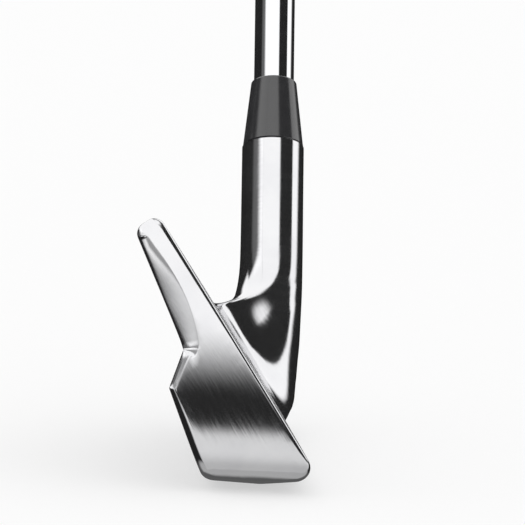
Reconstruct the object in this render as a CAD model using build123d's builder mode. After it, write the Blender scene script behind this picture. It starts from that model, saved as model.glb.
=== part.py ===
from build123d import *

import os
from math import cos, radians, sin, tan

# A forged muscle-back iron golf club (7-iron), at address: sole on the ground, shaft leaning at its lie.
# Frame, in millimetres: +X is the target direction, so the face looks towards +X and up by the loft.
# +Y runs from the toe to the heel and on towards the golfer.
# +Z is up, and z = 0 is the ground under the sole.
# The origin is the point where the sole rests, below the middle of the face.
# Lengths along the shaft axis are counted from the point where the axis meets the ground.

# ---- Club ----
club_length = 940.0  # 37 inches along the shaft axis, from the ground to the end of the grip cap
lie_angle = 63.0  # between the shaft axis and the ground
loft_angle = 34.4  # between the face and the vertical
axis_at_ground = 37.0  # y at which the shaft axis meets the ground
face_at_ground = 6.05  # x at which the face plane meets the ground

# ---- Blade: heights run up the face from the ground line, depths run straight back from the face ----
topline_height_toe = 68.4
topline_fall = 0.46  # drop of the topline per millimetre towards the heel
topline_station = -30.0  # y of the toe peak, where topline_height_toe holds
topline_depth = 5.8
notch_height = 39.84  # foot of the thin upper blade, at the toe
notch_depth = 10.0
notch_fall = 0.235
muscle_height = 34.55  # top corner of the muscle, at the toe
muscle_depth = 15.76
trailing_height = 14.83
trailing_depth = 20.75
sole_middle_height = 8.0435
sole_middle_depth = 11.8
leading_height = 2.0
sole_rise_toe = 1.2  # how far the sole has risen at the sole_rise_station
sole_rise_station = -34.0
# from beyond the finished toe to the start of the neck
blade_stations = (-46.0, -31.0, -16.0, -1.0, 13.0, 26.0)
heel_station = 26.0
toe_y = -42.0  # the toe's outermost place
toe_z = 8.5  # height above the ground of that place
toe_upper_radius = 82.0
toe_upper_turn = 45.0  # degrees of the upper arc, past the topline
toe_lower_width = 20.0  # half-axes of the ellipse that rounds the toe into the sole
toe_lower_height = 9.5
toe_lower_turn = 70.0
heel_muscle_thinning = 0.07  # depth the muscle loses per millimetre towards the heel

leading_radius = 3.2
topline_front_radius = 2.4
topline_back_radius = 2.4
notch_radius = 0.8
muscle_radius = 1.2
trailing_radius = 3.2
sole_middle_radius = 25.0

# ---- Hosel and neck ----
hosel_radius = 6.95
hosel_top = 68.5  # along the shaft axis, from the ground
crotch_radius = 9.2  # inner bend between the topline and the hosel
crotch_y = 38.24  # centre of that bend
bore_depth = 31.75
bore_radius = 4.6

neck_end_radius = 3.6  # the neck narrows as it climbs and ends inside the hosel
# below the start of its taper the hosel runs on into the heel as a core, curving in to a slimmer end
core_taper_starts = 38.0  # along the shaft axis
core_end = 2.5
core_end_radius = 4.35
core_end_rounding = 3.0
neck_top = 45.0  # along the shaft axis: the neck is the plain hosel from here up
# the neck runs straight on from the blade, bends round the crotch, then climbs straight up the shaft axis
neck_bend_starts = 0.30  # as a share of the neck's length
neck_bend_ends = 0.77
neck_stage_count = 12
# directions, in degrees round the neck's end, of the places where its seven tangent sides touch it
hosel_touch_angles = (-300, -2.5, -75, -130, -177.5, -220, -260, -300)
# shares of the neck's length over which each side of the blade turns into the hosel
top_turns = (0.10, 1.0)
back_turns = (0.10, 0.95)
sole_turns = (0.22, 0.72)
front_turns = (0.25, 0.85)

hosel_rim_chamfer = 0.35
corner_room_used = 0.96  # share of each side that its two corner roundings may take up
head_span = 100.0  # larger than the blade in every direction

# ---- Score lines ----
score_pitch = 3.6
score_first = 11.0
score_count = 12
score_width = 0.8
score_depth = 0.45
score_toe_end = -25.0
score_heel_end = 23.0
score_topline_gap = 6.0
milled_skin = 0.04  # depth milled off the face to make it flat
milled_heel_end = 25.0

# ---- Shaft, a stepped steel tube ----
tip_radius = 4.51
tip_parallel = 60.0
first_step_radius = 4.7
butt_radius = 7.62
first_step = 178.0
step_pitch = 25.4
step_count = 17
step_blend = 1.2
tip_wall = 0.65
butt_wall = 0.4
bond_floor = 0.05  # film of epoxy under the shaft tip
bond_rim_gap = 0.3  # the epoxy stops just short of the hosel's mouth
tip_weight_length = 12.0
tip_weight_edge_radius = 0.5

# ---- Ferrule ----
ferrule_length = 15.6
ferrule_base_radius = 6.78
ferrule_bore_radius = 4.53
ferrule_top_radius = 5.15
ferrule_edge_radius = 0.55

# ---- Grip ----
grip_length = 267.0
grip_mouth_radius = 9.3
grip_butt_radius = 13.2
grip_cap_radius = 14.3
grip_cap_length = 9.0
grip_cap_end_wall = 3.0
grip_cap_edge_radius = 3.0
grip_cap_lip_radius = 0.8
grip_lip_length = 6.0
grip_lip_radius = 0.9
tape_thickness = 0.15
tape_inset = 2.0  # the tape starts inside the grip's mouth
vent_radius = 1.6
label_length = 18.0
label_inset = 2.5  # from the foot of its step
label_step = 15  # the label sits on the plain length above this step
label_thickness = 0.06

# ---- Places along the shaft axis ----
bore_bottom = hosel_top - bore_depth
shaft_start = bore_bottom + bond_floor
shaft_end = club_length - grip_cap_end_wall
cap_start = club_length - grip_cap_length
grip_start = club_length - grip_length
grip_bore_radius = butt_radius + tape_thickness
label_start = shaft_start + first_step + step_pitch * label_step + label_inset
label_seat_radius = first_step_radius + (butt_radius - first_step_radius) * (label_step + 1) / step_count

# the bend's centre sits a crotch radius outside the hosel's wall
crotch_clearance = crotch_radius + hosel_radius + (crotch_y - axis_at_ground) * sin(radians(lie_angle))
crotch_z = crotch_clearance / cos(radians(lie_angle))
neck_bend_top = (crotch_y - axis_at_ground) * cos(radians(lie_angle)) + crotch_z * sin(radians(lie_angle))
axis_direction = Vector(0, cos(radians(lie_angle)), sin(radians(lie_angle)))
back_direction = (-cos(radians(loft_angle)), 0, -sin(radians(loft_angle)))
face_normal = (cos(radians(loft_angle)), 0, sin(radians(loft_angle)))
shaft_plane = Plane(origin=(0, axis_at_ground, 0), x_dir=(1, 0, 0), z_dir=axis_direction)
shaft_axis = Axis(shaft_plane.origin, axis_direction)
across_axis = Vector(1, 0, 0).cross(axis_direction)
axis_section_plane = Plane(origin=shaft_plane.origin, x_dir=(1, 0, 0), z_dir=across_axis)
face_plane = Plane(origin=(face_at_ground, 0, 0), x_dir=(0, 1, 0), z_dir=face_normal)


def blade_plane(y):
    """Across the blade at y: local x is the depth behind the face, local y is the height up the face."""
    return Plane(origin=(face_at_ground, y, 0), x_dir=back_direction, z_dir=(0, 1, 0))


def sole_rise(y):
    return sole_rise_toe * (y / sole_rise_station) ** 2


def blade_corners(y):
    """(depth, height) of the blade's seven corners at y, from the leading edge round over the top."""
    rise = sole_rise(y)
    up, back = rise * cos(radians(loft_angle)), -rise * sin(radians(loft_angle))
    top = topline_height_toe - topline_fall * (y - topline_station)
    along = y - topline_station
    notch = notch_height - notch_fall * along
    muscle = muscle_height - notch_fall * along
    thinning = heel_muscle_thinning * along
    return [
        (0, leading_height + rise / cos(radians(loft_angle))),
        (0, top),
        (topline_depth, top - 0.3),
        (notch_depth, notch),
        (muscle_depth - thinning, muscle),
        (trailing_depth - thinning + back, trailing_height - thinning * tan(radians(loft_angle)) + up),
        (sole_middle_depth + back, sole_middle_height + up),
    ]


blade_radii = [leading_radius, topline_front_radius, topline_back_radius, notch_radius, muscle_radius,
               trailing_radius, sole_middle_radius]


def neck_plane(share):
    """A plane across the neck: local x is +X, local y points away from the centre of the crotch's bend."""
    ahead = min(share / neck_bend_starts, 1.0)
    bend = min(max(share - neck_bend_starts, 0.0) / (neck_bend_ends - neck_bend_starts), 1.0)
    climb = max(share - neck_bend_ends, 0.0) / (1 - neck_bend_ends)
    angle = radians(-90 + lie_angle * bend)
    bend_start = Vector(0, heel_station + (crotch_y - heel_station) * ahead, crotch_z)
    centre = bend_start + axis_direction * (neck_top - neck_bend_top) * climb
    return Plane(origin=centre, x_dir=(1, 0, 0), z_dir=(0, -sin(angle), cos(angle)))


def carried_corners(share):
    """The blade's seven corners in the neck plane, carried straight on as far as the crotch."""
    y = heel_station + (crotch_y - heel_station) * min(share / neck_bend_starts, 1.0)
    upright = neck_plane(min(share, neck_bend_starts))
    blade = blade_plane(y)
    in_space = [blade.from_local_coords(Vector(*corner)) for corner in blade_corners(y)]
    in_neck_plane = [upright.to_local_coords(point) for point in in_space]
    return [(point.X, point.Y) for point in in_neck_plane]


def hosel_corners():
    """Seven corners drawn tightly round the neck's round end, in the same order as the blade's corners."""
    corners = []
    for before, after in zip(hosel_touch_angles, hosel_touch_angles[1:]):
        half_turn = (before - after) % 360 / 2
        middle = radians(before - half_turn)
        size = neck_end_radius / cos(radians(half_turn))
        corners.append((size * cos(middle), crotch_radius + hosel_radius + size * sin(middle)))
    return corners


def eased(share, turns):
    """0 before the turn starts, 1 after it ends, with a smooth rise between."""
    part = min(max((share - turns[0]) / (turns[1] - turns[0]), 0.0), 1.0)
    return part * part * (3 - 2 * part)


def neck_corners(share):
    """The blade's corners turned into the hosel's, each side over its own stretch of the neck."""
    top, back = eased(share, top_turns), eased(share, back_turns)
    sole, front = eased(share, sole_turns), eased(share, front_turns)
    turned = ((front, sole), (front, top), (top, top), (back, back), (back, back))
    turned += ((sole, sole), (sole, sole))
    pairs = zip(carried_corners(share), hosel_corners(), turned)
    return [(b[0] + (h[0] - b[0]) * w[0], b[1] + (h[1] - b[1]) * w[1]) for b, h, w in pairs]


def fitting_radii(corners, wanted):
    """The wanted corner radii, each held to what the two sides beside it leave room for."""
    points = [Vector(*corner) for corner in corners]
    count = len(points)
    spread = []
    for i, point in enumerate(points):
        half = radians((points[i - 1] - point).get_angle(points[(i + 1) % count] - point) / 2)
        spread.append(1 / tan(half))
    room = []
    for i, point in enumerate(points):
        side = (points[(i + 1) % count] - point).length
        room.append(side / (spread[i] + spread[(i + 1) % count]))
    return [min(wanted[i], corner_room_used * min(room[i - 1], room[i])) for i in range(count)]


def shaft_wall(station):
    """Wall of the tube at a place along the axis: it thins evenly from the tip to the butt."""
    along = (station - shaft_start) / (shaft_end - shaft_start)
    return tip_wall + (butt_wall - tip_wall) * along


def shaft_outline():
    """(radius, place along the axis) of the shaft's outside, from the tip over every step to the butt."""
    points = [(tip_radius, shaft_start), (tip_radius, shaft_start + tip_parallel)]
    radius = first_step_radius
    for step in range(step_count):
        foot = shaft_start + first_step + step_pitch * step
        points.append((radius, foot))
        radius += (butt_radius - first_step_radius) / step_count
        points.append((radius, foot + step_blend))
    points.append((radius, shaft_end))
    return points


def neck_radii(share):
    wanted = [r + (neck_end_radius - r) * share for r in blade_radii]
    return fitting_radii(neck_corners(share), wanted)


with BuildPart() as head:
    for station in blade_stations:
        with BuildSketch(blade_plane(station)):
            with BuildLine():
                FilletPolyline(
                    *blade_corners(station),
                    radius=fitting_radii(blade_corners(station), blade_radii),
                    close=True,
                )
            make_face()
    loft()
    for stage in range(neck_stage_count + 1):
        share = stage / neck_stage_count
        with BuildSketch(neck_plane(share)):
            with BuildLine():
                FilletPolyline(*neck_corners(share), radius=neck_radii(share), close=True)
            make_face()
    loft(ruled=True)
    # the hosel's core tapers on down through the neck into the heel
    with BuildSketch(axis_section_plane):
        with BuildLine():
            FilletPolyline(
                (0, core_taper_starts),
                (0, core_end),
                (core_end_radius, core_end),
                (core_end_radius, core_end + core_end_rounding + 1),
                radius=(0, core_end_rounding),
            )
            TangentArc(
                (hosel_radius, core_taper_starts),
                (core_end_radius, core_end + core_end_rounding + 1),
                tangent=(0, -1),
            )
            Polyline(
                (hosel_radius, core_taper_starts),
                (hosel_radius, neck_top),
                (0, neck_top),
                (0, core_taper_starts),
            )
        make_face()
    revolve(axis=shaft_axis)
    # the toe is cut straight along X, in a long arc above its outermost place and an ellipse below
    with BuildSketch(Plane.YZ):
        with BuildLine():
            upper = CenterArc((toe_y + toe_upper_radius, toe_z), toe_upper_radius, 180, -toe_upper_turn)
            lower = EllipticalCenterArc(
                (toe_y + toe_lower_width, toe_z),
                toe_lower_width,
                toe_lower_height,
                start_angle=180,
                arc_size=toe_lower_turn,
            )
            Polyline(upper @ 1, (head_span, head_span), (head_span, -head_span / 2), lower @ 1)
        make_face()
    extrude(amount=head_span / 2, both=True, mode=Mode.INTERSECT)
    # the straight hosel and its bore for the shaft tip
    with BuildSketch(shaft_plane.offset(neck_top)):
        Circle(hosel_radius)
    extrude(amount=hosel_top - neck_top)
    hosel_rim = head.edges().filter_by(GeomType.CIRCLE).sort_by(shaft_axis)[-1]
    chamfer(hosel_rim, hosel_rim_chamfer)
    with BuildSketch(shaft_plane.offset(hosel_top)):
        Circle(bore_radius)
    extrude(amount=-bore_depth, mode=Mode.SUBTRACT)
    # the striking face is milled flat from the toe to the start of the neck
    with BuildSketch(face_plane.offset(-milled_skin)):
        with Locations((milled_heel_end - head_span / 2, 0)):
            Rectangle(head_span, 2 * head_span)
    extrude(amount=milled_skin + 1, mode=Mode.SUBTRACT)
    with BuildSketch(face_plane.offset(-milled_skin)):
        for line in range(score_count):
            height = score_first + score_pitch * line
            below_topline = topline_height_toe - score_topline_gap - height
            line_end = min(score_heel_end, topline_station + below_topline / topline_fall)
            with Locations(((score_toe_end + line_end) / 2, height)):
                SlotOverall(line_end - score_toe_end, score_width)
    extrude(amount=-score_depth, mode=Mode.SUBTRACT)

with BuildPart() as ferrule:
    with BuildSketch(axis_section_plane):
        with BuildLine():
            FilletPolyline(
                (ferrule_bore_radius, hosel_top),
                (ferrule_base_radius, hosel_top),
                (ferrule_top_radius, hosel_top + ferrule_length),
                (ferrule_bore_radius, hosel_top + ferrule_length),
                radius=(0, 0, ferrule_edge_radius, 0),
                close=True,
            )
        make_face()
    revolve(axis=shaft_axis)

with BuildPart() as shaft:
    with BuildSketch(axis_section_plane):
        with BuildLine():
            outside = shaft_outline()
            inside = [(radius - shaft_wall(station), station) for radius, station in reversed(outside)]
            Polyline(*outside, *inside, close=True)
        make_face()
    revolve(axis=shaft_axis)

with BuildPart() as epoxy_bond:
    with BuildSketch(shaft_plane.offset(bore_bottom)):
        Circle(bore_radius)
    extrude(amount=bore_depth - bond_rim_gap)
    with BuildSketch(shaft_plane.offset(shaft_start)):
        Circle(tip_radius)
    extrude(amount=bore_depth, mode=Mode.SUBTRACT)

with BuildPart() as tip_weight:
    with BuildSketch(shaft_plane.offset(shaft_start)):
        Circle(tip_radius - tip_wall)
    extrude(amount=tip_weight_length)
    fillet(tip_weight.edges().filter_by(GeomType.CIRCLE), tip_weight_edge_radius)

with BuildPart() as shaft_label:
    with BuildSketch(shaft_plane.offset(label_start)):
        Circle(label_seat_radius + label_thickness)
        Circle(label_seat_radius, mode=Mode.SUBTRACT)
    extrude(amount=label_length)

with BuildPart() as grip_tape:
    with BuildSketch(shaft_plane.offset(grip_start + tape_inset)):
        Circle(butt_radius + tape_thickness)
        Circle(butt_radius, mode=Mode.SUBTRACT)
    extrude(amount=shaft_end - grip_start - tape_inset)

with BuildPart() as grip:
    with BuildSketch(axis_section_plane):
        with BuildLine():
            FilletPolyline(
                (grip_bore_radius, grip_start),
                (grip_mouth_radius, grip_start),
                (grip_mouth_radius, grip_start + grip_lip_length),
                (grip_butt_radius, cap_start),
                (grip_bore_radius, cap_start),
                radius=(0, grip_lip_radius, 0, 0, 0),
                close=True,
            )
        make_face()
    revolve(axis=shaft_axis)

with BuildPart() as grip_cap:
    with BuildSketch(axis_section_plane):
        with BuildLine():
            FilletPolyline(
                (vent_radius, shaft_end),
                (grip_bore_radius, shaft_end),
                (grip_bore_radius, cap_start),
                (grip_cap_radius, cap_start),
                (grip_cap_radius, club_length),
                (vent_radius, club_length),
                radius=(0, 0, 0, grip_cap_lip_radius, grip_cap_edge_radius, 0),
                close=True,
            )
        make_face()
    revolve(axis=shaft_axis)

os.makedirs("parts", exist_ok=True)

head.part.label = "head"
export_step(head.part, "parts/head.step")
ferrule.part.label = "ferrule"
export_step(ferrule.part, "parts/ferrule.step")
shaft.part.label = "shaft"
export_step(shaft.part, "parts/shaft.step")
epoxy_bond.part.label = "epoxy_bond"
export_step(epoxy_bond.part, "parts/epoxy_bond.step")
tip_weight.part.label = "tip_weight"
export_step(tip_weight.part, "parts/tip_weight.step")
shaft_label.part.label = "shaft_label"
export_step(shaft_label.part, "parts/shaft_label.step")
grip_tape.part.label = "grip_tape"
export_step(grip_tape.part, "parts/grip_tape.step")
grip.part.label = "grip"
export_step(grip.part, "parts/grip.step")
grip_cap.part.label = "grip_cap"
export_step(grip_cap.part, "parts/grip_cap.step")
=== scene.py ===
from math import cos, pi, radians, sin, tan

import bmesh
import bpy
import numpy as np
from mathutils import Matrix, Vector
from mathutils.geometry import delaunay_2d_cdt


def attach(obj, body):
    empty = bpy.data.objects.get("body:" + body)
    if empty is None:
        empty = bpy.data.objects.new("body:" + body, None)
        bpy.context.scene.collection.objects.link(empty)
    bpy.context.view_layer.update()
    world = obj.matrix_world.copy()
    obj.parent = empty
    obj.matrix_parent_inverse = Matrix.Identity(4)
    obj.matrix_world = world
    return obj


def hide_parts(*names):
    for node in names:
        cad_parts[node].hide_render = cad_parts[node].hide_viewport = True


# The looks of the iron golf club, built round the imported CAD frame.
# Lengths are in millimetres up to make_mesh, which turns them into metres.
# Frame: +X is the target direction, +Y runs from toe to heel, +Z is up, the ground is z = 0.

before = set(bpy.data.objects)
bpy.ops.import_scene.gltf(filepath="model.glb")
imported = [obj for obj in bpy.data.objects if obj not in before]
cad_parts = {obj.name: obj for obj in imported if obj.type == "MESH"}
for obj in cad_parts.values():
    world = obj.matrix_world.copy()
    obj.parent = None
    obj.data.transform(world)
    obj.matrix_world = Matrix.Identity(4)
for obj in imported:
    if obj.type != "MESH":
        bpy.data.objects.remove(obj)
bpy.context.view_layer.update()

# ---- Club ----
CLUB_LENGTH = 940.0
LIE = radians(63.0)
LOFT = radians(34.4)
AXIS_AT_GROUND = 37.0
FACE_AT_GROUND = 6.05

# ---- Blade ----
TOPLINE_HEIGHT = 68.4
TOPLINE_FALL = 0.46
TOPLINE_STATION = -30.0
TOPLINE_DEPTH = 5.8
NOTCH_HEIGHT = 39.84
NOTCH_DEPTH = 10.0
NOTCH_FALL = 0.235
MUSCLE_HEIGHT = 34.55
MUSCLE_DEPTH = 15.76
TRAILING_HEIGHT = 14.83
TRAILING_DEPTH = 20.75
SOLE_HEIGHT = 8.0435
SOLE_DEPTH = 11.8
LEADING_HEIGHT = 2.0
SOLE_RISE = 1.2
SOLE_RISE_STATION = -34.0
HEEL_THINNING = 0.07
TOPLINE_CROWN = 0.3  # how much shorter up the face the topline's back edge is than its front edge
BLADE_RADII = (3.2, 2.4, 2.4, 0.8, 1.2, 3.2, 25.0)
HEEL_STATION = 26.0  # y where the blade ends and the neck starts
BEYOND_TOE = -46.0
STATION_STEP = 1.0
TOE_Y = -42.0  # the toe's outermost place
TOE_Z = 8.5  # height above the ground of that place
TOE_UPPER_RADIUS = 82.0
TOE_LOWER_WIDTH = 20.0
TOE_LOWER_HEIGHT = 9.5
TOE_CROWN_START = -26.0  # y where the topline starts to round down into the toe
TOE_CROWN_RADIUS = 5.0
TOE_CROWN_DROP = 12.0  # the most that the topline falls in that rounding
# rounding of the toe wall's edge at the blade's seven corners, and on the side after each corner
TOE_EDGE_CORNERS = (1.0, 1.2, 2.0, 3.0, 1.0, 1.6, 1.2)
TOE_EDGE_SIDES = (0.7, 1.3, 4.2, 1.6, 1.6, 1.4, 1.1)
TOE_EDGE_DEPTH = 0.5  # a rounding of this width is just as deep
TOE_EDGE_SLOPE = 0.4  # a wide rounding is a bevel, this much deeper for each millimetre of width
TOE_BEVEL_WIDTHS = (0.8, 4.2)  # from the first width to the second a rounding flattens into a bevel
TOE_BEVEL_FLATTENING = 0.85  # 0 is a round edge and 1 is a flat bevel
TOE_EDGE_STEPS = 10
HALF_STEPS = 60
TOE_NET_STEP = 1.3
TOE_NET_CLEARANCE = 0.5  # square of the least distance from the net's points to the wall's rim
BLADE_STEPS = 40
BLADE_STEPS_CROWDING = 1.3  # more than 1 crowds the steps towards the toe

# ---- Hosel and neck ----
HOSEL_RADIUS = 6.95
HOSEL_TOP = 68.5
HOSEL_CHAMFER = 0.35
BORE_RADIUS = 4.6
BORE_DEPTH = 31.75
BORE_MIDDLE_RADIUS = 0.5  # the ring of the bore's flat foot that a single face closes
CROTCH_RADIUS = 9.2
CROTCH_Y = 38.24
NECK_TOP = 45.0
# shares of the neck's length between which its plane swings round the crotch
BEND_STARTS = 0.30
BEND_ENDS = 0.77
# directions, in degrees, where the sides of the neck's last outline touch its circle
TOUCH_ANGLES = (-300, -2.5, -75, -130, -177.5, -220, -260, -300)
# the stretch of the neck, as shares of its length, over which each side turns to the hosel
TOP_TURNS = (0.10, 1.0)
BACK_TURNS = (0.10, 0.95)
SOLE_TURNS = (0.22, 0.72)
FRONT_TURNS = (0.25, 0.85)

# ---- Shaft, ferrule and grip ----
TIP_RADIUS = 4.51
TIP_PARALLEL = 60.0
FIRST_STEP = 178.0
FIRST_STEP_RADIUS = 4.7
STEP_PITCH = 25.4
STEP_COUNT = 17
STEP_BLEND = 1.2
BUTT_RADIUS = 7.62
BUTT_WALL = 0.5
TIP_WALL = 0.9
SHAFT_START = HOSEL_TOP - BORE_DEPTH + 0.05
SHAFT_END = CLUB_LENGTH - 3.0
FERRULE_LENGTH = 15.6
FERRULE_BASE_RADIUS = 6.78
FERRULE_TOP_RADIUS = 5.15
FERRULE_BORE = 4.53
FERRULE_EDGE = 0.55
FERRULE_FOOT_EDGE = 0.12
GRIP_START = CLUB_LENGTH - 267.0
CAP_START = CLUB_LENGTH - 9.0
GRIP_BORE = 7.77
GRIP_MOUTH_RADIUS = 9.3
GRIP_BUTT_RADIUS = 13.2
GRIP_LIP = 6.0
GRIP_MOUTH_EDGE = 0.9
GROOVE_PITCH = 3.2
DIAMOND_PITCH = 3.4
DIAMONDS_AROUND = 12.0
DIAMOND_BAND_PITCH = 44.0
CAP_RADIUS = 14.3
CAP_EDGE = 0.8
CAP_DOME = 3.0
VENT_RADIUS = 1.6
LABEL_LENGTH = 18.0
LABEL_STEP = 15  # the step of the shaft that the label follows
LABEL_START = SHAFT_START + FIRST_STEP + LABEL_STEP * STEP_PITCH + 2.5
LABEL_BAND_INSET = 2.0

# ---- Score lines ----
SCORE_PITCH = 3.6
SCORE_FIRST = 11.0
SCORE_COUNT = 12
SCORE_WIDTH = 0.8
SCORE_DEPTH = 0.45
SCORE_TOE_END = -25.0
SCORE_HEEL_END = 23.0
SCORE_TOPLINE_GAP = 6.0
CUTTER_ABOVE_FACE = 1.0
BLAST_TOE = SCORE_TOE_END - 3.0
BLAST_HEEL = SCORE_HEEL_END + 1.0

AXIS_DIRECTION = np.array([0, cos(LIE), sin(LIE)])
AXIS_OUT = np.array([0, sin(LIE), -cos(LIE)])  # across the shaft, away from the blade
CROTCH_Z = (CROTCH_RADIUS + HOSEL_RADIUS + (CROTCH_Y - AXIS_AT_GROUND) * sin(LIE)) / cos(LIE)
BEND_TOP = (CROTCH_Y - AXIS_AT_GROUND) * cos(LIE) + CROTCH_Z * sin(LIE)
# inside the neck a tapered core carries the hosel down to the heel
CORE_TAPER_STARTS = 38.0
CORE_TAPER = 0.0026
CORE_END = 7.5
NECK_BLEND = 9.0  # how broadly the core and the blade run into each other
NECK_BLEND_AT_END = 3.0
NECK_BLEND_IN_FRONT = 4.0
# shares of the neck's length over which the blend narrows, all round and then in front
END_NARROWS = (0.55, 0.95)
FRONT_NARROWS = (0.1, 0.5)
# the front, in degrees round the shaft axis from the toe towards the target, fades in and out here
FRONT_STARTS = (45.0, 80.0)
FRONT_ENDS = (145.0, 175.0)
NECK_REACH = 16.0  # how far outside the neck's own outline the blend is looked for
NECK_END_RADIUS = 3.6  # the neck's own outline shrinks to this inside the core
HEAD_SMOOTH_ANGLE = 40.0
NECK_STEPS = 44
HOSEL_STEPS = 6
NECK_SMOOTHING = 20
NECK_RESMOOTHING = 3
HALVINGS = 26
POINTS_PER_CORNER = 24
STRAIGHTS_SHARE = 0.45  # below 1 the points crowd into the outline's roundings
AXIS_FOOT = np.array([0, AXIS_AT_GROUND, 0])  # where the shaft axis meets the ground


# ---- Mesh helpers ----
def make_mesh(name, points, faces, smooth_angle=35.0):
    """A mesh object from points in millimetres, smooth except along edges sharper than smooth_angle."""
    mesh = bpy.data.meshes.new(name)
    mesh.from_pydata([tuple(0.001 * value for value in point) for point in points], [], faces)
    mesh.validate()
    finish_mesh(mesh, smooth_angle)
    piece = bpy.data.objects.new(name, mesh)
    bpy.context.scene.collection.objects.link(piece)
    return piece


def finish_mesh(mesh, smooth_angle):
    """Smooth shading, broken at the edges that are sharper than smooth_angle."""
    mesh.polygons.foreach_set("use_smooth", [True] * len(mesh.polygons))
    mesh.set_sharp_from_angle(angle=radians(smooth_angle))
    mesh.update()


def ring_faces(first, second, count):
    """Quads between two rings of count points that start at those indices."""
    faces = []
    for i in range(count):
        j = (i + 1) % count
        faces.append((first + i, first + j, second + j, second + i))
    return faces


def on_shaft(radius, angle, place):
    """A point at radius and angle round the shaft axis, place millimetres along it."""
    across = np.array([1.0, 0, 0]) * cos(angle) + AXIS_OUT * sin(angle)
    return AXIS_FOOT + AXIS_DIRECTION * place + across * radius


def lathe(name, profile, segments):
    """A turned piece: the closed (radius, place) profile goes once round the shaft axis."""
    points = []
    for radius, place in profile:
        for k in range(segments):
            points.append(on_shaft(radius, 2 * pi * k / segments, place))
    faces = []
    rows = len(profile)
    for row in range(rows):
        faces += ring_faces(row * segments, (row + 1) % rows * segments, segments)
    return make_mesh(name, points, faces)


def rounded(centre, radius, start, end, steps=6):
    """Points on an arc of the profile, from start to end degrees."""
    turns = [radians(start + (end - start) * k / steps) for k in range(steps + 1)]
    return [(centre[0] + radius * cos(turn), centre[1] + radius * sin(turn)) for turn in turns]


# ---- Head ----
def eased(share, turns):
    """0 before the stretch that turns gives, 1 after it and a soft rise between."""
    part = min(max((share - turns[0]) / (turns[1] - turns[0]), 0.0), 1.0)
    return part * part * (3 - 2 * part)


def blade_corners(y):
    """(depth behind the face, height up the face) of the blade's seven corners at y."""
    rise = SOLE_RISE * (y / SOLE_RISE_STATION) ** 2
    up, back = rise * cos(LOFT), -rise * sin(LOFT)
    along = y - TOPLINE_STATION
    crown = max(TOE_CROWN_START - y, 0.0) ** 2 / (2 * TOE_CROWN_RADIUS)
    top = TOPLINE_HEIGHT - TOPLINE_FALL * along - min(crown, TOE_CROWN_DROP)
    thinning = HEEL_THINNING * along
    return [
        (0, LEADING_HEIGHT + rise / cos(LOFT)),
        (0, top),
        (TOPLINE_DEPTH, top - TOPLINE_CROWN),
        (NOTCH_DEPTH, NOTCH_HEIGHT - NOTCH_FALL * along),
        (MUSCLE_DEPTH - thinning, MUSCLE_HEIGHT - NOTCH_FALL * along),
        (TRAILING_DEPTH - thinning + back, TRAILING_HEIGHT - thinning * tan(LOFT) + up),
        (SOLE_DEPTH + back, SOLE_HEIGHT + up),
    ]


def blade_point(depth, height, y):
    """Points in the row frame from numbers or arrays of depth behind the face and height up it."""
    x = FACE_AT_GROUND - np.asarray(depth) * cos(LOFT) - np.asarray(height) * sin(LOFT)
    z = np.asarray(height) * cos(LOFT) - np.asarray(depth) * sin(LOFT)
    return np.stack(np.broadcast_arrays(x, y, z), axis=-1)


def rounded_ring(corners, wanted, room_used=0.995):
    """Points round a polygon with rounded corners, the same number for every corner."""
    corners = np.array(corners, float)
    count = len(corners)
    before = np.roll(corners, 1, axis=0) - corners
    after = np.roll(corners, -1, axis=0) - corners
    side = np.linalg.norm(after, axis=1)
    before /= np.linalg.norm(before, axis=1)[:, None]
    after /= side[:, None]
    half = np.arccos(np.clip((before * after).sum(axis=1), -1, 1)) / 2
    spread = 1 / np.tan(half)
    room = side / (spread + np.roll(spread, -1))
    radius = np.minimum(wanted, room_used * np.minimum(room, np.roll(room, 1)))
    starts = corners + before * (radius * spread)[:, None]
    ends = corners + after * (radius * spread)[:, None]
    bisector = (before + after) / np.linalg.norm(before + after, axis=1)[:, None]
    centres = corners + bisector * (radius / np.sin(half))[:, None]
    middles = (ends + np.roll(starts, -1, axis=0)) / 2
    points = []
    for i in range(count):
        lead = np.linalg.norm(starts[i] - middles[i - 1])
        tail = np.linalg.norm(middles[i] - ends[i])
        turn = pi - 2 * half[i]
        total = lead + tail + radius[i] * turn
        arc_starts = STRAIGHTS_SHARE * lead / total
        arc_ends = 1 - STRAIGHTS_SHARE * tail / total
        spoke = starts[i] - centres[i]
        cross = before[i][0] * after[i][1] - before[i][1] * after[i][0]
        sense = 1 if cross < 0 else -1
        for k in range(POINTS_PER_CORNER):
            part = k / POINTS_PER_CORNER
            if part < arc_starts:
                points.append(middles[i - 1] + (starts[i] - middles[i - 1]) * part / arc_starts)
            elif part <= arc_ends:
                angle = sense * turn * (part - arc_starts) / (arc_ends - arc_starts)
                points.append(centres[i] + (spoke[0] * cos(angle) - spoke[1] * sin(angle),
                                            spoke[0] * sin(angle) + spoke[1] * cos(angle)))
            else:
                points.append(ends[i] + (middles[i] - ends[i]) * (part - arc_ends) / (1 - arc_ends))
    return np.array(points)


def toe_wall(depth, height):
    """y of the toe wall: a long arc above its outermost place, a short ellipse below, straight along X."""
    z = height * cos(LOFT) - depth * sin(LOFT)
    above = np.clip(z - TOE_Z, 0, 0.95 * TOE_UPPER_RADIUS)
    below = np.clip((TOE_Z - z) / TOE_LOWER_HEIGHT, 0, 0.985)
    upper = TOE_UPPER_RADIUS - np.sqrt(TOE_UPPER_RADIUS ** 2 - above ** 2)
    lower = TOE_LOWER_WIDTH * (1 - np.sqrt(1 - below ** 2))
    return TOE_Y + upper + lower


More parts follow.
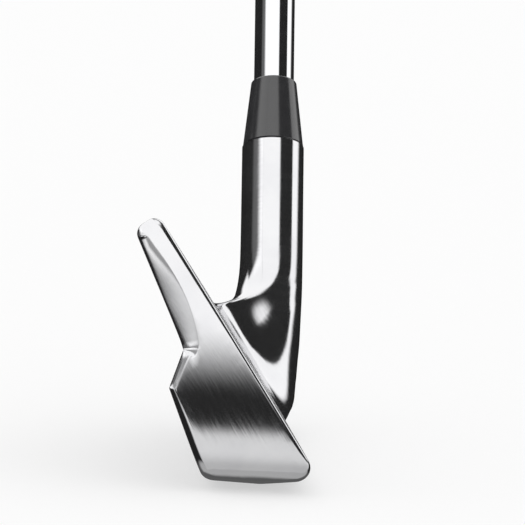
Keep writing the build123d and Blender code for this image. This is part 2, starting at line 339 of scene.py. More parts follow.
def neck_frame(share):
    """Centre and outward direction of the neck's plane at a share of its length."""
    ahead = min(share / BEND_STARTS, 1.0)
    bend = min(max(share - BEND_STARTS, 0.0) / (BEND_ENDS - BEND_STARTS), 1.0)
    climb = max(share - BEND_ENDS, 0.0) / (1 - BEND_ENDS)
    angle = -pi / 2 + LIE * bend
    centre = np.array([0, HEEL_STATION + (CROTCH_Y - HEEL_STATION) * ahead, CROTCH_Z])
    centre = centre + AXIS_DIRECTION * (NECK_TOP - BEND_TOP) * climb
    return centre, np.array([0, cos(angle), sin(angle)])


def hosel_corners():
    """The seven corners round the circle that the neck's outline ends in."""
    corners = []
    for before, after in zip(TOUCH_ANGLES, TOUCH_ANGLES[1:]):
        half_turn = (before - after) % 360 / 2
        size = NECK_END_RADIUS / cos(radians(half_turn))
        middle = radians(before - half_turn)
        corners.append((size * cos(middle), CROTCH_RADIUS + HOSEL_RADIUS + size * sin(middle)))
    return corners


def neck_ring(share):
    """The blade's outline turned into a circle round the shaft, each side over its own stretch."""
    y = HEEL_STATION + (CROTCH_Y - HEEL_STATION) * min(share / BEND_STARTS, 1.0)
    carried = [blade_point(depth, height, y) for depth, height in blade_corners(y)]
    top, back = eased(share, TOP_TURNS), eased(share, BACK_TURNS)
    sole, front = eased(share, SOLE_TURNS), eased(share, FRONT_TURNS)
    turned = ((front, sole), (front, top), (top, top), (back, back), (back, back))
    turned += ((sole, sole), (sole, sole))
    corners = []
    for point, target, weight in zip(carried, hosel_corners(), turned):
        flat = (point[0], CROTCH_Z - point[2])
        corners.append([flat[k] + (target[k] - flat[k]) * weight[k] for k in (0, 1)])
    wanted = [radius + (NECK_END_RADIUS - radius) * share for radius in BLADE_RADII]
    ring = rounded_ring(corners, wanted, 0.995 if share < 1 else 1.0)
    centre, outward = neck_frame(share)
    return centre + ring[:, :1] * np.array([1.0, 0, 0]) + ring[:, 1:] * outward


def smooth_neck(rings, first, last, times):
    """Evens out each line of points that runs through the rings from first up to last."""
    for _ in range(times):
        near = rings[first - 1:last - 1] + rings[first + 1:last + 1]
        rings[first:last] = 0.5 * rings[first:last] + 0.25 * near


def head_rings():
    """Rings of points from the toe wall's edge, along the blade and the neck, to the foot of the bore."""
    stations = np.arange(BEYOND_TOE, HEEL_STATION + STATION_STEP / 2, STATION_STEP)
    outlines = np.array([rounded_ring(blade_corners(y), BLADE_RADII) for y in stations])
    count = outlines.shape[1]
    index = np.arange(count)

    def outline_at(y):
        station = np.clip((y - BEYOND_TOE) / STATION_STEP, 0, len(stations) - 1.001)
        low = station.astype(int)
        part = (station - low)[:, None]
        return outlines[low, index] * (1 - part) + outlines[low + 1, index] * part

    turn = 0.5 - 0.5 * np.cos(2 * pi * (index % POINTS_PER_CORNER) / POINTS_PER_CORNER)
    corner = index // POINTS_PER_CORNER
    before = index % POINTS_PER_CORNER < POINTS_PER_CORNER / 2
    side = np.where(before, np.take(TOE_EDGE_SIDES, corner - 1), np.take(TOE_EDGE_SIDES, corner))
    edge_radius = np.take(TOE_EDGE_CORNERS, corner) * turn + side * (1 - turn)
    edge_depth = TOE_EDGE_DEPTH + TOE_EDGE_SLOPE * (edge_radius - TOE_EDGE_DEPTH)
    narrow, wide = TOE_BEVEL_WIDTHS
    bevel = 1 + TOE_BEVEL_FLATTENING * np.clip((edge_radius - narrow) / (wide - narrow), 0, 1)
    # y where each line along the blade meets the rounding, found by repeated half steps
    start = np.full(count, TOE_Y + 4.0)
    for _ in range(HALF_STEPS):
        start = 0.5 * start + 0.5 * (toe_wall(*outline_at(start).T) + edge_depth)
    edge = outline_at(start)
    along = np.roll(edge, -1, axis=0) - np.roll(edge, 1, axis=0)
    inward = np.stack([-along[:, 1], along[:, 0]], axis=1) / np.linalg.norm(along, axis=1)[:, None]
    middle = edge.mean(axis=0)
    if ((middle - edge) * inward).sum() < 0:
        inward = -inward
    rings = []
    for step in range(TOE_EDGE_STEPS):
        angle = pi / 2 * (1 - step / TOE_EDGE_STEPS)
        flat = edge + inward * (edge_radius * (1 - cos(angle) ** bevel))[:, None]
        wall = toe_wall(*flat.T) + edge_depth * (1 - sin(angle) ** bevel)
        rings.append(blade_point(flat[:, 0], flat[:, 1], wall))
    toe_rim = edge + inward * edge_radius[:, None]
    for step in range(BLADE_STEPS + 1):
        part = (step / BLADE_STEPS) ** BLADE_STEPS_CROWDING
        y = start + (HEEL_STATION - start) * part
        flat = outline_at(y)
        rings.append(blade_point(flat[:, 0], flat[:, 1], y))
    blade_count = len(rings)
    for step in range(1, NECK_STEPS + 1):
        share = step / NECK_STEPS
        rings.append(swollen(neck_ring(share), share))
    neck_end = len(rings)
    end_ring = rings[-1] - (AXIS_FOOT + AXIS_DIRECTION * NECK_TOP)
    across = end_ring / np.linalg.norm(end_ring, axis=1)[:, None]

    def turned_ring(radius, place):
        return AXIS_FOOT + AXIS_DIRECTION * place + across * radius

    straight = HOSEL_TOP - HOSEL_CHAMFER - NECK_TOP
    for step in range(1, HOSEL_STEPS + 1):
        rings.append(turned_ring(HOSEL_RADIUS, NECK_TOP + straight * step / HOSEL_STEPS))
    rings = np.array(rings)
    smooth_neck(rings, blade_count - 3, neck_end + 2, NECK_SMOOTHING)
    # smoothing draws the neck in, so it is pushed back out to the core
    neck = rings[blade_count:neck_end]
    offset = neck - AXIS_FOOT
    radial = offset - (offset @ AXIS_DIRECTION)[..., None] * AXIS_DIRECTION
    radial /= np.linalg.norm(radial, axis=-1)[..., None]
    neck += radial * np.maximum(-core_distance(neck), 0)[..., None]
    smooth_neck(rings, blade_count - 3, neck_end + 2, NECK_RESMOOTHING)
    rings = list(rings)
    for radius, place in (
        (HOSEL_RADIUS - HOSEL_CHAMFER, HOSEL_TOP),
        (BORE_RADIUS, HOSEL_TOP),
        (BORE_RADIUS, HOSEL_TOP - BORE_DEPTH),
        (BORE_MIDDLE_RADIUS, HOSEL_TOP - BORE_DEPTH),
    ):
        rings.append(turned_ring(radius, place))
    return rings, toe_rim


def core_distance(points):
    """Distance outside the core: the hosel's cylinder, tapering down to a round end in the heel."""
    offset = points - AXIS_FOOT
    place = offset @ AXIS_DIRECTION
    taper = CORE_TAPER * np.clip(CORE_TAPER_STARTS - place, 0, CORE_TAPER_STARTS - CORE_END) ** 2
    held = np.maximum(place, CORE_END)
    across = np.linalg.norm(offset - held[..., None] * AXIS_DIRECTION, axis=-1)
    return across - HOSEL_RADIUS + taper


def swollen(ring, share):
    """A ring of the neck pushed out to the smooth union of the blade's neck and the core."""
    centre = ring.mean(axis=0)
    spokes = ring - centre
    reach = np.linalg.norm(spokes, axis=1)
    spokes = spokes / reach[:, None]
    along = np.roll(ring, -1, axis=0) - np.roll(ring, 1, axis=0)
    along /= np.linalg.norm(along, axis=1)[:, None] + 1e-9
    slant = np.sqrt(np.clip(1 - (spokes * along).sum(axis=1) ** 2, 0.05, 1))
    blend = NECK_BLEND + (NECK_BLEND_AT_END - NECK_BLEND) * eased(share, END_NARROWS)
    offset = ring - AXIS_FOOT
    around = np.degrees(np.arctan2(offset[:, 0], -(offset @ AXIS_OUT)))
    begins, whole = FRONT_STARTS
    fades, over = FRONT_ENDS
    front = np.clip((around - begins) / (whole - begins), 0, 1)
    front = front * np.clip((over - around) / (over - fades), 0, 1)
    blend = blend - (blend - NECK_BLEND_IN_FRONT) * front * eased(share, FRONT_NARROWS)
    low, high = 0.3 * reach, reach + NECK_REACH
    for _ in range(HALVINGS):
        middle = (low + high) / 2
        outside_neck = (middle - reach) * slant
        outside_core = core_distance(centre + spokes * middle[:, None])
        mix = np.clip(blend - np.abs(outside_neck - outside_core), 0, None) / blend
        value = np.minimum(outside_neck, outside_core) - mix * mix * blend / 4
        low = np.where(value < 0, middle, low)
        high = np.where(value < 0, high, middle)
    return centre + spokes * low[:, None]


def make_head():
    """The forging: a skin over the rings, the toe wall's net and the score lines."""
    rings, toe_rim = head_rings()
    count = len(toe_rim)
    points = [point for ring in rings for point in ring]
    faces = []
    for row in range(len(rings) - 1):
        faces += ring_faces(row * count, (row + 1) * count, count)
    last = (len(rings) - 1) * count
    faces.append(tuple(range(last, last + count)))
    # the toe wall: an even net of triangles inside the first ring, each point on the wall's curve
    low, high = toe_rim.min(axis=0), toe_rim.max(axis=0)
    inner = []
    for height in np.arange(low[1] + 0.8, high[1], TOE_NET_STEP):
        for depth in np.arange(low[0] + 0.6, high[0], TOE_NET_STEP):
            gaps = toe_rim - (depth, height)
            if (gaps ** 2).sum(axis=1).min() > TOE_NET_CLEARANCE and inside(toe_rim, depth, height):
                inner.append((depth, height))
    loose = [Vector(point) for point in [*toe_rim, *inner]]
    net = delaunay_2d_cdt(loose, [], [list(range(count))], 1, 1e-5)
    net_points, net_faces, sources = net[0], net[2], net[3]
    number = {}
    for i, (point, source) in enumerate(zip(net_points, sources)):
        rim = [origin for origin in source if origin < count]
        if rim:
            number[i] = rim[0]
        else:
            number[i] = len(points)
            points.append(blade_point(*point, toe_wall(*point)))
    faces += [tuple(number[i] for i in face) for face in net_faces]
    head = make_mesh("head_forged", points, faces, HEAD_SMOOTH_ANGLE)
    fix_normals(head)
    cut_score_lines(head)
    return head


def inside(loop, x, y):
    """Whether a point lies inside a closed loop of points."""
    from_x, from_y = loop[:, 0], loop[:, 1]
    to_x, to_y = np.roll(from_x, -1), np.roll(from_y, -1)
    crosses = (from_y > y) != (to_y > y)
    with np.errstate(divide="ignore", invalid="ignore"):
        reach = from_x + (y - from_y) * (to_x - from_x) / (to_y - from_y)
    return (crosses & (x < reach)).sum() % 2 == 1


def fix_normals(piece):
    """Turns every face outwards."""
    work = bmesh.new()
    work.from_mesh(piece.data)
    bmesh.ops.recalc_face_normals(work, faces=work.faces)
    work.to_mesh(piece.data)
    work.free()


def cut_score_lines(head):
    """Cuts the score lines out of the face: slots with round ends, all as one cutter."""
    points, faces = [], []
    steps = 10
    for line in range(SCORE_COUNT):
        level = SCORE_FIRST + SCORE_PITCH * line
        reach = TOPLINE_STATION + (TOPLINE_HEIGHT - SCORE_TOPLINE_GAP - level) / TOPLINE_FALL
        end = min(SCORE_HEEL_END, reach)
        outline = []
        radius = SCORE_WIDTH / 2
        for centre, turn in ((end - radius, -90), (SCORE_TOE_END + radius, 90)):
            for k in range(steps + 1):
                angle = radians(turn + 180 * k / steps)
                outline.append((centre + radius * cos(angle), level + radius * sin(angle)))
        count = len(outline)
        base = len(points)
        for depth in (-CUTTER_ABOVE_FACE, SCORE_DEPTH):
            for y, height in outline:
                points.append(blade_point(depth, height, y))
        faces += ring_faces(base, base + count, count)
        faces.append(tuple(range(base, base + count)))
        faces.append(tuple(range(base + 2 * count - 1, base + count - 1, -1)))
    cutter = make_mesh("score_cutter", points, faces)
    fix_normals(cutter)
    cut = head.modifiers.new("score_lines", "BOOLEAN")
    cut.operation = "DIFFERENCE"
    cut.solver = "EXACT"
    cut.object = cutter
    bpy.context.view_layer.update()
    evaluated = head.evaluated_get(bpy.context.evaluated_depsgraph_get())
    result = bpy.data.meshes.new_from_object(evaluated)
    head.modifiers.clear()
    head.data = result
    bpy.data.objects.remove(cutter)
    finish_mesh(result, HEAD_SMOOTH_ANGLE)


# ---- Turned pieces ----
def make_ferrule():
    """A tapered collar with an eased foot and a rounded top edge."""
    top = HOSEL_TOP + FERRULE_LENGTH
    profile = [(FERRULE_BORE, HOSEL_TOP), (FERRULE_BASE_RADIUS - FERRULE_FOOT_EDGE, HOSEL_TOP)]
    profile += [(FERRULE_BASE_RADIUS, HOSEL_TOP + FERRULE_FOOT_EDGE)]
    steps = 12
    for k in range(1, steps):
        part = k / steps
        radius = FERRULE_BASE_RADIUS + (FERRULE_TOP_RADIUS - FERRULE_BASE_RADIUS) * part
        profile.append((radius, HOSEL_TOP + (FERRULE_LENGTH - FERRULE_EDGE) * part))
    edge_centre = (FERRULE_TOP_RADIUS - FERRULE_EDGE, top - FERRULE_EDGE)
    profile += rounded(edge_centre, FERRULE_EDGE, 0, 90, 8)
    profile.append((FERRULE_BORE, top))
    return lathe("ferrule_turned", profile, 128)


def shaft_profile():
    """The tube's outside: a parallel tip, a taper to the first step and the steps up to the butt."""
    points = [(TIP_RADIUS, SHAFT_START), (TIP_RADIUS, SHAFT_START + TIP_PARALLEL)]
    radius = FIRST_STEP_RADIUS
    grow = (BUTT_RADIUS - FIRST_STEP_RADIUS) / STEP_COUNT
    for step in range(STEP_COUNT):
        foot = SHAFT_START + FIRST_STEP + STEP_PITCH * step
        for k in range(9):
            part = k / 8
            points.append((radius + grow * part * part * (3 - 2 * part), foot + STEP_BLEND * part))
        radius += grow
    points.append((radius, SHAFT_END))
    return points


def make_shaft():
    """The stepped tube, its wall thinner at the butt than at the tip."""
    outside = shaft_profile()
    bore = [(outside[-1][0] - BUTT_WALL, SHAFT_END), (outside[0][0] - TIP_WALL, SHAFT_START)]
    return lathe("shaft_stepped", outside + bore, 128)


def make_grip():
    """The sleeve: a rounded mouth, a parallel lip, a taper and three ring grooves near each end."""
    lip = GRIP_START + GRIP_LIP
    profile = [(GRIP_BORE, GRIP_START)]
    mouth_centre = (GRIP_MOUTH_RADIUS - GRIP_MOUTH_EDGE, GRIP_START + GRIP_MOUTH_EDGE)
    profile += rounded(mouth_centre, GRIP_MOUTH_EDGE, -90, 0)
    taper = (GRIP_BUTT_RADIUS - GRIP_MOUTH_RADIUS) / (CAP_START - lip)

    def radius_at(place):
        return GRIP_MOUTH_RADIUS + taper * max(place - lip, 0.0)

    for first in (lip + 2.0, CAP_START - 14.0):
        for k in range(3):
            place = first + GROOVE_PITCH * k
            for offset, depth in ((-0.55, 0.0), (-0.35, 0.35), (0.35, 0.35), (0.55, 0.0)):
                profile.append((radius_at(place) - depth, place + offset))
    profile.append((radius_at(CAP_START), CAP_START))
    profile.append((GRIP_BORE, CAP_START))
    return lathe("grip_sleeve", profile, 160)


def make_cap():
    """The closed end: a rounded rim, one ring groove and a dish that leads into the vent."""
    profile = [(VENT_RADIUS, SHAFT_END), (GRIP_BORE, SHAFT_END), (GRIP_BORE, CAP_START)]
    profile += rounded((CAP_RADIUS - CAP_EDGE, CAP_START + CAP_EDGE), CAP_EDGE, -90, 0)
    profile += rounded((CAP_RADIUS - CAP_DOME, CLUB_LENGTH - CAP_DOME), CAP_DOME, 0, 90, 10)
    groove = ((9.4, 0.0), (9.2, 0.3), (8.6, 0.3), (8.4, 0.0))
    dish = ((3.4, 0.0), (3.2, 0.3), (1.9, 0.3), (VENT_RADIUS, 0.55))
    for radius, depth in groove + dish:
        profile.append((radius, CLUB_LENGTH - depth))
    return lathe("grip_cap_moulded", profile, 128)


# ---- Materials ----
class Nodes:
    """A short way to write a node tree: add gives back the new node, math and range its output."""

    def __init__(self, tree):
        self.tree = tree

    def add(self, kind, values=(), **settings):
        node = self.tree.nodes.new(kind)
        for key, value in settings.items():
            setattr(node, key, value)
        for key, value in dict(values).items():
            if isinstance(value, bpy.types.NodeSocket):
                self.tree.links.new(value, node.inputs[key])
            else:
                node.inputs[key].default_value = value
        return node

    def math(self, operation, a, b=0.0, c=0.0):
        return self.add("ShaderNodeMath", {0: a, 1: b, 2: c}, operation=operation).outputs[0]

    def range(self, value, low, high, to_low=0.0, to_high=1.0, smooth=True):
        kind = "SMOOTHSTEP" if smooth else "LINEAR"
        values = {"Value": value, "From Min": low, "From Max": high, "To Min": to_low, "To Max": to_high}
        return self.add("ShaderNodeMapRange", values, interpolation_type=kind).outputs[0]


def new_material(name, colour, metallic, roughness):
    """A material, its node tree and its shader, with even values to start from."""
    material = bpy.data.materials.new(name)
    material.use_nodes = True
    shader = material.node_tree.nodes["Principled BSDF"]
    shader.inputs["Base Color"].default_value = (*colour, 1)
    shader.inputs["Metallic"].default_value = metallic
    shader.inputs["Roughness"].default_value = roughness
    return material, Nodes(material.node_tree), shader


def coordinates(nodes, x_axis, y_axis, z_axis, origin):
    """Coordinates in millimetres along three directions of the row frame, from an origin."""
    spot = nodes.add("ShaderNodeTexCoord").outputs["Object"]
    values = {0: spot, 1: [0.001 * value for value in origin]}
    moved = nodes.add("ShaderNodeVectorMath", values, operation="SUBTRACT").outputs[0]
    sizes = []
    for axis in (x_axis, y_axis, z_axis):
        values = {0: moved, 1: [1000 * value for value in axis]}
        along = nodes.add("ShaderNodeVectorMath", values, operation="DOT_PRODUCT")
        sizes.append(along.outputs["Value"])
    return sizes


def noise(nodes, x, y, z, stretch, detail=3.0):
    """Noise whose grain is 1 / stretch millimetres long in each direction."""
    moved = [nodes.math("MULTIPLY", value, by) for value, by in zip((x, y, z), stretch)]
    vector = nodes.add("ShaderNodeCombineXYZ", dict(zip("XYZ", moved))).outputs[0]
    values = {"Vector": vector, "Scale": 1.0, "Detail": detail, "Roughness": 0.6}
    return nodes.add("ShaderNodeTexNoise", values).outputs[0]


def mixed(nodes, factor, a, b):
    """Value a where the factor is 0 and value b where it is 1."""
    return nodes.add("ShaderNodeMix", {"Factor": factor, "A": a, "B": b}).outputs[0]


def mixed_colour(nodes, factor, a, b):
    """Colour a where the factor is 0 and colour b where it is 1."""
    mix = nodes.add("ShaderNodeMix", data_type="RGBA")
    for name, value in (("Factor_Float", factor), ("A_Color", (*a, 1)), ("B_Color", (*b, 1))):
        socket = next(entry for entry in mix.inputs if entry.identifier == name)
        if isinstance(value, bpy.types.NodeSocket):
            nodes.tree.links.new(value, socket)
        else:
            socket.default_value = value
    return next(entry for entry in mix.outputs if entry.identifier == "Result_Color")


def finish(nodes, shader, colour, roughness, height, height_mm, strength):
    """Links the worked-out colour, roughness and bump of a material, its relief given in millimetres."""
    values = {"Strength": strength, "Distance": 0.001 * height_mm, "Height": height}
    bump = nodes.add("ShaderNodeBump", values)
    for value, socket in ((colour, "Base Color"), (roughness, "Roughness"), (bump.outputs[0], "Normal")):
        nodes.tree.links.new(value, shader.inputs[socket])


def round_shaft(nodes):
    """Turns round the shaft axis, millimetres from it and along it, and the two directions across it."""
    across, out, up = coordinates(nodes, (1, 0, 0), AXIS_OUT, AXIS_DIRECTION, AXIS_FOOT)
    turn = nodes.math("DIVIDE", nodes.math("ARCTAN2", across, out), 2 * pi)
    square = nodes.math("MULTIPLY_ADD", across, across, nodes.math("MULTIPLY", out, out))
    radius = nodes.math("SQRT", square)
    return turn, radius, up, across, out


def brushed_head():
    """Satin plate: brushed up the blade and round the hosel, blasted between the score lines."""
    material, nodes, shader = new_material("head_satin_chrome", (0.72, 0.72, 0.73), 1.0, 0.1)
    face_normal = (cos(LOFT), 0, sin(LOFT))
    up_face = (-sin(LOFT), 0, cos(LOFT))
    origin = (FACE_AT_GROUND, 0, 0)
    depth, along, height = coordinates(nodes, face_normal, (0, 1, 0), up_face, origin)
    _, _, up, across, out = round_shaft(nodes)
    blade_lines = noise(nodes, depth, along, height, (2.6, 1.5, 0.07), 4.0)
    hosel_lines = noise(nodes, across, out, up, (0.07, 0.07, 2.6), 4.0)
    lines = mixed(nodes, nodes.range(along, 36.0, 52.0), blade_lines, hosel_lines)
    wear = noise(nodes, depth, along, height, (0.09, 0.09, 0.09), 5.0)
    on_face = nodes.range(depth, -0.12, -0.07)
    on_face = nodes.math("MULTIPLY", on_face, nodes.range(along, BLAST_HEEL, BLAST_HEEL + 0.6, 1.0, 0.0))
    on_face = nodes.math("MULTIPLY", on_face, nodes.range(along, BLAST_TOE - 0.6, BLAST_TOE))
    grit = noise(nodes, depth, along, height, (9.0, 9.0, 9.0), 2.0)
    satin = nodes.math("ADD", nodes.range(lines, 0.3, 0.7, 0.075, 0.125, smooth=False),
                       nodes.range(wear, 0.45, 0.7, 0.0, 0.035))
    rough = mixed(nodes, on_face, satin, nodes.range(grit, 0.3, 0.7, 0.3, 0.4))
    tone = mixed_colour(nodes, nodes.range(wear, 0.35, 0.7), (0.73, 0.73, 0.74), (0.69, 0.69, 0.705))
    relief = mixed(nodes, on_face, lines, nodes.math("MULTIPLY", grit, 1.6))
    finish(nodes, shader, tone, rough, relief, 0.02, 0.35)
    return material


def mirror_shaft():
    """Bright plate with the faint rings of its polishing wheel and a little handling haze."""
    material, nodes, shader = new_material("shaft_mirror_chrome", (0.8, 0.8, 0.81), 1.0, 0.05)
    _, _, up, across, out = round_shaft(nodes)
    rings = noise(nodes, across, out, up, (0.1, 0.1, 7.0))
    haze = noise(nodes, across, out, up, (0.08, 0.08, 0.05), 5.0)
    rough = nodes.math("ADD", nodes.range(rings, 0.3, 0.7, 0.03, 0.06, smooth=False),
                       nodes.range(haze, 0.45, 0.75, 0.0, 0.06))
    tone = mixed_colour(nodes, haze, (0.82, 0.82, 0.83), (0.77, 0.775, 0.79))
    finish(nodes, shader, tone, rough, rings, 0.004, 0.25)
    return material


def ferrule_plastic():
    """Turned black plastic: fine tool rings, softened by polishing."""
    material, nodes, shader = new_material("ferrule_black", (0.02, 0.02, 0.021), 0.0, 0.3)
    shader.inputs["Specular IOR Level"].default_value = 1.0
    _, _, up, across, out = round_shaft(nodes)
    rings = noise(nodes, across, out, up, (0.15, 0.15, 6.0))
    scuffs = noise(nodes, across, out, up, (0.4, 0.4, 0.25), 5.0)
    rough = nodes.math("ADD", nodes.range(rings, 0.3, 0.7, 0.15, 0.2, smooth=False),
                       nodes.range(scuffs, 0.55, 0.75, 0.0, 0.12))
    tone = mixed_colour(nodes, scuffs, (0.02, 0.02, 0.021), (0.034, 0.034, 0.036))
    finish(nodes, shader, tone, rough, rings, 0.006, 0.3)
    return material


def grip_rubber():
    """Moulded rubber: bands of raised diamonds round the sleeve, over a fine matt grain, with painted
    shade darkening the grooves.
    """
    material, nodes, shader = new_material("grip_rubber", (0.02, 0.02, 0.021), 0.0, 0.7)
    turn, _, up, across, out = round_shaft(nodes)
    grain = noise(nodes, across, out, up, (5.0, 5.0, 5.0), 3.0)
    rise = nodes.math("DIVIDE", up, DIAMOND_PITCH)
    ways = []
    for around in (DIAMONDS_AROUND, -DIAMONDS_AROUND):
        wave = nodes.math("FRACT", nodes.math("MULTIPLY_ADD", turn, around, rise))
        ways.append(nodes.math("ABSOLUTE", nodes.math("SUBTRACT", wave, 0.5)))
    nearest = nodes.math("MINIMUM", *ways)
    groove = nodes.range(nearest, 0.05, 0.11)
    bands = nodes.math("DIVIDE", nodes.math("SUBTRACT", up, GRIP_START), DIAMOND_BAND_PITCH)
    share = nodes.math("FRACT", bands)
    plain = nodes.range(nodes.math("ABSOLUTE", nodes.math("SUBTRACT", share, 0.5)), 0.40, 0.42)
    relief = nodes.math("MAXIMUM", groove, plain)
    height = nodes.math("MULTIPLY_ADD", grain, 0.12, relief)
    rough = nodes.math("ADD", nodes.range(grain, 0.3, 0.7, 0.58, 0.74),
                       nodes.range(relief, 0.0, 1.0, 0.1, 0.0))
    # painted shade: the colour is darker in the grooves between the diamonds and lighter on the raised
    # diamonds and plain bands
    tone = mixed_colour(nodes, relief, (0.008, 0.008, 0.0085), (0.026, 0.026, 0.027))
    finish(nodes, shader, tone, rough, height, 0.35, 0.8)
    return material


def cap_rubber():
    """Harder rubber with a satin skin and a rubbed rim."""
    material, nodes, shader = new_material("cap_rubber", (0.03, 0.03, 0.032), 0.0, 0.55)
    _, radius, up, across, out = round_shaft(nodes)
    grain = noise(nodes, across, out, up, (3.0, 3.0, 3.0), 4.0)
    rubbed = nodes.range(radius, CAP_RADIUS - 1.6, CAP_RADIUS)
    rough = nodes.math("SUBTRACT", nodes.range(grain, 0.3, 0.7, 0.48, 0.62),
                       nodes.math("MULTIPLY", rubbed, 0.08))
    tone = mixed_colour(nodes, rubbed, (0.024, 0.024, 0.026), (0.045, 0.045, 0.047))
    finish(nodes, shader, tone, rough, grain, 0.03, 0.4)
    return material


def label_film():
    """Silver film with two dark bands just inside its ends, left without any marks."""
    material, nodes, shader = new_material("label_silver_film", (0.75, 0.76, 0.78), 0.6, 0.25)
    _, _, up, across, out = round_shaft(nodes)
    low = nodes.math("SUBTRACT", up, LABEL_START)
    near_low = nodes.math("ABSOLUTE", nodes.math("SUBTRACT", low, LABEL_BAND_INSET))
    near_high = nodes.math("ABSOLUTE", nodes.math("SUBTRACT", low, LABEL_LENGTH - LABEL_BAND_INSET))
    band = nodes.math("MINIMUM", near_low, near_high)
    printed = nodes.range(band, 0.45, 0.55, 1.0, 0.0)
    grain = noise(nodes, across, out, up, (4.0, 4.0, 1.0), 3.0)
    tone = mixed_colour(nodes, printed, (0.75, 0.76, 0.78), (0.05, 0.06, 0.1))
    finish(nodes, shader, tone, nodes.range(grain, 0.3, 0.7, 0.2, 0.3), grain, 0.004, 0.3)
    return material


def cured_epoxy():
    """Amber resin with the small voids and filler grains of a hand-mixed batch."""
    material, nodes, shader = new_material("epoxy_cured", (0.35, 0.33, 0.27), 0.0, 0.35)
    _, _, up, across, out = round_shaft(nodes)
    grains = noise(nodes, across, out, up, (2.2, 2.2, 2.2), 5.0)
    tone = mixed_colour(nodes, nodes.range(grains, 0.35, 0.65), (0.38, 0.34, 0.24), (0.27, 0.24, 0.17))
    finish(nodes, shader, tone, nodes.range(grains, 0.3, 0.7, 0.25, 0.5), grains, 0.05, 0.5)
    return material


def turned_brass():
    """Turned brass: tool rings and patches of light tarnish."""
    material, nodes, shader = new_material("weight_brass", (0.68, 0.53, 0.27), 1.0, 0.25)
    _, _, up, across, out = round_shaft(nodes)
    rings = noise(nodes, across, out, up, (0.2, 0.2, 8.0))
    tarnish = noise(nodes, across, out, up, (0.5, 0.5, 0.5), 5.0)
    tone = mixed_colour(nodes, nodes.range(tarnish, 0.45, 0.7), (0.7, 0.55, 0.28), (0.45, 0.33, 0.17))
    finish(nodes, shader, tone, nodes.range(rings, 0.3, 0.7, 0.18, 0.34), rings, 0.01, 0.4)
    return material


def paper_tape():
    """Creped paper tape: ridges across its length and fibres in its colour."""
    material, nodes, shader = new_material("tape_creped", (0.72, 0.68, 0.58), 0.0, 0.85)
    _, _, up, across, out = round_shaft(nodes)
    crepe = noise(nodes, across, out, up, (0.5, 0.5, 3.0), 4.0)
    fibres = noise(nodes, across, out, up, (3.0, 3.0, 0.6), 5.0)
    tone = mixed_colour(nodes, fibres, (0.76, 0.72, 0.62), (0.6, 0.55, 0.45))
    finish(nodes, shader, tone, nodes.range(crepe, 0.3, 0.7, 0.75, 0.95), crepe, 0.05, 0.6)
    return material


# ---- Pieces ----
head = make_head()
ferrule = make_ferrule()
shaft = make_shaft()
grip = make_grip()
cap = make_cap()
for piece, node, slot, material in (
    (head, "head", "head_steel", brushed_head()),
    (ferrule, "ferrule", "ferrule_plastic", ferrule_plastic()),
    (shaft, "shaft", "shaft_chrome", mirror_shaft()),
    (grip, "grip", "grip_rubber", grip_rubber()),
    (cap, "grip_cap", "cap_rubber", cap_rubber()),
):
    piece.data.materials.clear()
    piece.data.materials.append(material)
    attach(piece, "root")
    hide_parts(node)

for node, material in (
    ("shaft_label", label_film()),
    ("epoxy_bond", cured_epoxy()),
    ("tip_weight", turned_brass()),
    ("grip_tape", paper_tape()),
):
    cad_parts[node].data.materials.clear()
    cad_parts[node].data.materials.append(material)


# ---- Floor, light and camera ----
FLOOR_REACH = 9000.0


def make_floor():
    """A pale matt floor that the metal doesn't mirror."""
    corners = [(FLOOR_REACH * x, FLOOR_REACH * y, 0) for x, y in ((-1, -1), (1, -1), (1, 1), (-1, 1))]
    floor = make_mesh("floor", corners, [(0, 1, 2, 3)])
    material, _, shader = new_material("pale_floor", (0.48, 0.48, 0.48), 0.0, 0.9)
    shader.inputs["Specular IOR Level"].default_value = 0.0
    shader.inputs["Emission Color"].default_value = (1, 1, 1, 1)
    shader.inputs["Emission Strength"].default_value = 0.5
    floor.data.materials.append(material)
    floor.visible_glossy = False


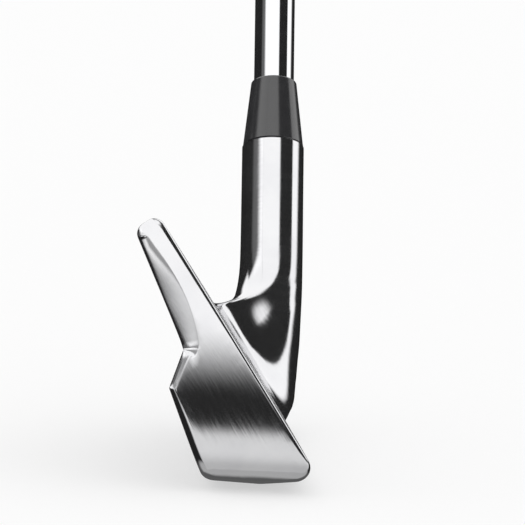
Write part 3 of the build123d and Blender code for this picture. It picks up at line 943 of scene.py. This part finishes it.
def make_world():
    """Pale light on everything, and for mirrored rays a studio of soft boxes with dark gaps between.

    Each soft box is a range of azimuth, 0 towards the toe and 90 towards the target, and of elevation.
    """
    world = bpy.data.worlds.new("studio")
    bpy.context.scene.world = world
    world.use_nodes = True
    nodes = Nodes(world.node_tree)
    background = world.node_tree.nodes["Background"]
    way = nodes.add("ShaderNodeTexCoord").outputs["Generated"]
    parts = nodes.add("ShaderNodeSeparateXYZ", {0: way})
    x, y, z = parts.outputs
    azimuth = nodes.math("DEGREES", nodes.math("ARCTAN2", x, nodes.math("MULTIPLY", y, -1.0)))
    elevation = nodes.math("DEGREES", nodes.math("ARCSINE", z))

    def between(value, low, high, edge):
        rise = nodes.range(value, low - edge, low + edge)
        fall = nodes.range(value, high - edge, high + edge, 1.0, 0.0)
        return nodes.math("MULTIPLY", rise, fall)

    def both(a, b):
        return nodes.math("MULTIPLY", a, b)

    # the key box over the toe reaches lower on its back side, where a grey card also shades a part of it
    raised = nodes.math("ADD", elevation, nodes.range(azimuth, -46.0, -16.0, 9.0, 0.0))
    key = both(between(azimuth, -54.0, 30.0, 4.0), nodes.range(raised, 9.0, 30.0))
    card = both(between(azimuth, -60.0, -20.0, 5.0), between(elevation, 21.0, 36.0, 3.0))
    key = both(key, nodes.math("MULTIPLY_ADD", card, -0.7, 1.0))
    beside = both(between(azimuth, -125.0, -52.0, 4.0), nodes.range(elevation, 30.0, 37.0))
    behind = both(between(azimuth, -175.0, -118.0, 4.0), nodes.range(elevation, 18.0, 27.0))
    overhead = nodes.range(elevation, 64.0, 76.0)
    # the strip on the target's side leans away from the toe with height
    over_foot = nodes.math("MAXIMUM", nodes.math("SUBTRACT", elevation, 22.0), 0.0)
    upright = nodes.math("SUBTRACT", azimuth, both(over_foot, 1.2))
    strip = both(between(upright, 81.0, 150.0, 3.0), between(elevation, 12.5, 62.0, 3.0))
    white = 0.0
    for panel in (key, beside, behind, overhead, strip):
        white = nodes.math("MAXIMUM", white, panel)
    glow = both(between(azimuth, -94.0, -50.0, 6.0), between(elevation, 8.0, 45.0, 4.0))
    # below the horizon: a pale panel on the toe's side, a spot straight below, a faint fill at the heel
    low = both(between(azimuth, -20.0, 75.0, 7.0), nodes.range(elevation, -75.0, -8.0, 0.6, 0.9))
    low = both(low, nodes.range(elevation, -4.5, -0.5, 1.0, 0.0))
    low = nodes.math("MAXIMUM", low, nodes.range(elevation, -72.0, -55.0, 0.5, 0.0))
    far = nodes.range(nodes.math("ABSOLUTE", azimuth), 100.0, 140.0, 0.0, 0.12)
    low = nodes.math("MAXIMUM", low, both(far, nodes.range(elevation, -8.0, -24.0)))
    total = nodes.math("MULTIPLY_ADD", white, 1.25, 0.02)
    total = nodes.math("MULTIPLY_ADD", glow, 0.13, total)
    total = nodes.math("MAXIMUM", total, low)
    rays = nodes.add("ShaderNodeLightPath")
    strength = mixed(nodes, rays.outputs["Is Glossy Ray"], 1.0, total)
    nodes.tree.links.new(strength, background.inputs["Strength"])
    background.inputs["Color"].default_value = (1, 1, 1, 1)


def make_camera():
    """A long lens that looks along the blade from the toe, a little from above and slightly tilted."""
    target = Vector((-7.15, 0.0, 42.9))
    distance = 1000.0
    azimuth, elevation, roll = radians(-5.3), radians(6.8), radians(-3.39)
    view = Vector((-sin(azimuth) * cos(elevation), cos(azimuth) * cos(elevation), -sin(elevation)))
    right = Vector((cos(azimuth), sin(azimuth), 0))
    up = right.cross(view)
    tilted_right = cos(roll) * right - sin(roll) * up
    tilted_up = sin(roll) * right + cos(roll) * up
    camera = bpy.data.objects.new("camera", bpy.data.cameras.new("camera"))
    camera.data.sensor_width = 36.0
    camera.data.lens = 324.3
    camera.data.clip_start = 0.01
    camera.data.clip_end = 100.0
    place_matrix = Matrix((tilted_right, tilted_up, -view)).transposed().to_4x4()
    place_matrix.translation = (target - view * distance) * 0.001
    camera.matrix_world = place_matrix
    bpy.context.scene.collection.objects.link(camera)
    bpy.context.scene.camera = camera


make_floor()
make_world()
make_camera()
bpy.context.scene.view_settings.view_transform = "Standard"
